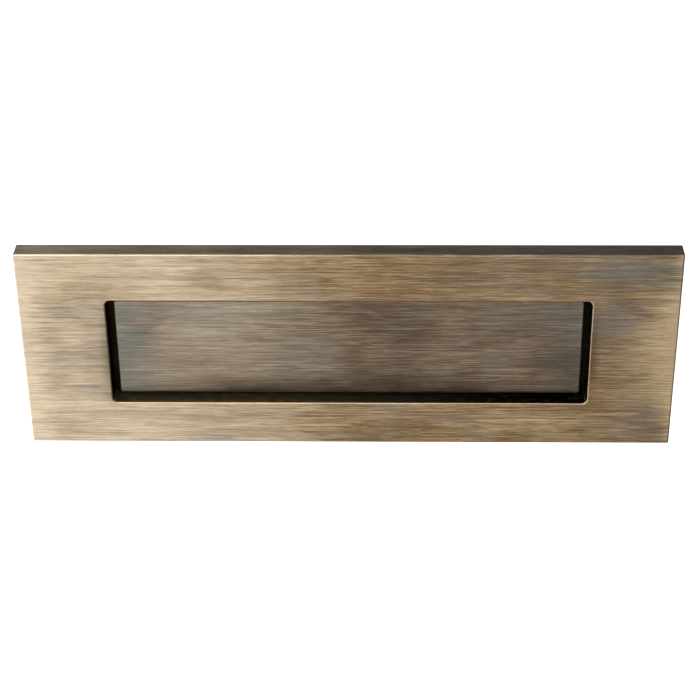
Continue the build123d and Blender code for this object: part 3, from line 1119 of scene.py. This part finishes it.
for name, side in SIDES.items():
    low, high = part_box(f"fixing_stud_{name}")
    stud_x = (low.x + high.x) / 2
    crest = (high.x - low.x) / 2
    thread = rolled_thread(f"stud_thread_{name}", stud_x, thread_start_y, high.y, crest)
    shank = turned_bar(
        f"steel_stud_{name}",
        "Y",
        Vector((stud_x, low.y, 0)),
        shank_radius - shank_chamfer,
        [
            (shank_end, shank_radius - shank_chamfer),
            (shank_chamfer, shank_radius),
            (thread_start_y - low.y - 2 * shank_taper, shank_radius),
            (shank_taper, crest - thread_depth),
            (shank_into_thread, crest - thread_depth),
        ],
    )
    smooth(shank, 30)
    bpy.ops.object.select_all(action="DESELECT")
    thread.select_set(True)
    shank.select_set(True)
    bpy.context.view_layer.objects.active = shank
    bpy.ops.object.join()
    fit(shank, f"fixing_stud_{name}", "plate", "plated_steel", zinc_plate)

    low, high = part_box(f"flat_washer_{name}")
    washer = ring(
        f"brass_washer_{name}",
        "Y",
        Vector((stud_x, (low.y + high.y) / 2, 0)),
        bore=crest + washer_gap,
        rim=(high.x - low.x) / 2,
        thickness=high.y - low.y,
        easing=washer_ease,
        steps=64,
    )
    fit(washer, f"flat_washer_{name}", "plate", "fixing_brass", nut_brass)

    nut = softened_copy(f"cap_nut_{name}", f"domed_nut_{name}", fixing_ease)
    fit(nut, f"cap_nut_{name}", "plate", "fixing_brass", nut_brass)

    washer = softened_copy(f"spring_washer_{name}", f"split_washer_{name}", fixing_ease)
    fit(washer, f"spring_washer_{name}", "plate", "plated_steel", zinc_plate)


# ---------------------------------------------------------------- studio
floor_width = 30
floor_drop = 0.5
bpy.ops.object.select_all(action="DESELECT")
bpy.ops.mesh.primitive_plane_add(size=floor_width, location=(0, 0, -floor_drop))
floor = bpy.context.active_object
floor.name = "studio_floor"
floor_paint = Finish("pale_floor")
floor.data.materials.append(
    floor_paint.surface(
        Base_Color=(0.9, 0.9, 0.9),
        Roughness=0.9,
        Emission_Color=(1.0, 1.0, 1.0, 1.0),
        Emission_Strength=1.0,
    )
)
floor.visible_glossy = False
floor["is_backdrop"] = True


def softbox(name, place, width, height, power):
    """A soft studio light at a place, turned to the plate's middle."""
    light = bpy.data.lights.new(name, "AREA")
    light.shape = "RECTANGLE"
    light.size = width
    light.size_y = height
    light.energy = power
    lamp = bpy.data.objects.new(name, light)
    lamp.location = place
    lamp.rotation_euler = (-Vector(place)).to_track_quat("-Z", "Y").to_euler()
    lamp.visible_camera = False
    bpy.context.collection.objects.link(lamp)


softbox("front_softbox", (-0.4, -1.15, 0.85), width=1.0, height=0.5, power=8)
softbox("left_softbox", (-1.3, -0.5, -0.1), width=0.5, height=0.9, power=4)
softbox("rear_softbox", (-0.9, 1.2, -0.1), width=0.9, height=0.5, power=8)


def studio_sky():
    """A pale room: bright to the left, in front and far to the right, darker elsewhere."""
    sky = bpy.data.worlds.new("studio")
    bpy.context.scene.world = sky
    sky.use_nodes = True
    tree = sky.node_tree
    background = tree.nodes["Background"]
    background.inputs["Color"].default_value = (1.0, 1.0, 1.0, 1.0)
    look = tree.nodes.new("ShaderNodeTexCoord")
    split = tree.nodes.new("ShaderNodeSeparateXYZ")
    tree.links.new(look.outputs["Generated"], split.inputs[0])

    def band(output, low, high, to_low, to_high):
        """Brightness along one direction, from to_low at low to to_high at high."""
        node = tree.nodes.new("ShaderNodeMapRange")
        node.interpolation_type = "SMOOTHSTEP"
        tree.links.new(split.outputs[output], node.inputs["Value"])
        for socket, value in zip(node.inputs[1:5], (low, high, to_low, to_high)):
            socket.default_value = value
        return node.outputs[0]

    def combine(operation, first, second):
        node = tree.nodes.new("ShaderNodeMath")
        node.operation = operation
        tree.links.new(first, node.inputs[0])
        tree.links.new(second, node.inputs[1])
        return node.outputs[0]

    left_to_middle = band("X", -0.20, 0.05, 0.86, 0.52)
    middle_to_right = band("X", 0.15, 0.60, 1.0, 0.22)
    far_right = band("X", 0.65, 0.90, 1.0, 3.0)
    front_to_back = band("Y", -0.35, 0.40, 1.0, 0.14)
    low_lift = combine("MULTIPLY", band("Z", 0.05, 0.30, 0.75, 0.0), band("Y", 0.0, 0.45, 0.0, 1.0))
    depthwise = combine("ADD", front_to_back, low_lift)
    widthwise = combine("MULTIPLY", combine("MULTIPLY", left_to_middle, middle_to_right), far_right)
    strength = combine("MULTIPLY", widthwise, depthwise)

    seen = tree.nodes.new("ShaderNodeLightPath")
    mix = tree.nodes.new("ShaderNodeMix")
    tree.links.new(seen.outputs["Is Camera Ray"], mix.inputs[0])
    tree.links.new(strength, mix.inputs[2])
    mix.inputs[3].default_value = 1.0
    tree.links.new(mix.outputs[0], background.inputs["Strength"])


studio_sky()


# ---------------------------------------------------------------- camera
def hand_held_camera(place, heading, downward, lean, lens):
    """A camera looking into the door, turned from +Y by its heading, tilt and lean."""
    forward = Vector(
        (sin(heading) * cos(downward), cos(heading) * cos(downward), -sin(downward))
    )
    level = Vector((cos(heading), -sin(heading), 0))
    above = level.cross(forward)
    right = level * cos(lean) + above * sin(lean)
    up = above * cos(lean) - level * sin(lean)
    camera = bpy.data.objects.new("camera", bpy.data.cameras.new("camera"))
    bpy.context.collection.objects.link(camera)
    turn = Matrix((right, up, -forward)).transposed().to_4x4()
    camera.matrix_world = Matrix.Translation(place) @ turn
    camera.data.lens = lens
    camera.data.sensor_width = 36
    bpy.context.scene.camera = camera


hand_held_camera(
    place=Vector((21.9, -764.9, 454.6)) * MM,
    heading=radians(-1.61),
    downward=radians(31.0),
    lean=radians(-0.69),
    lens=97.2,
)
bpy.context.scene.view_settings.view_transform = "Standard"

low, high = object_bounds()
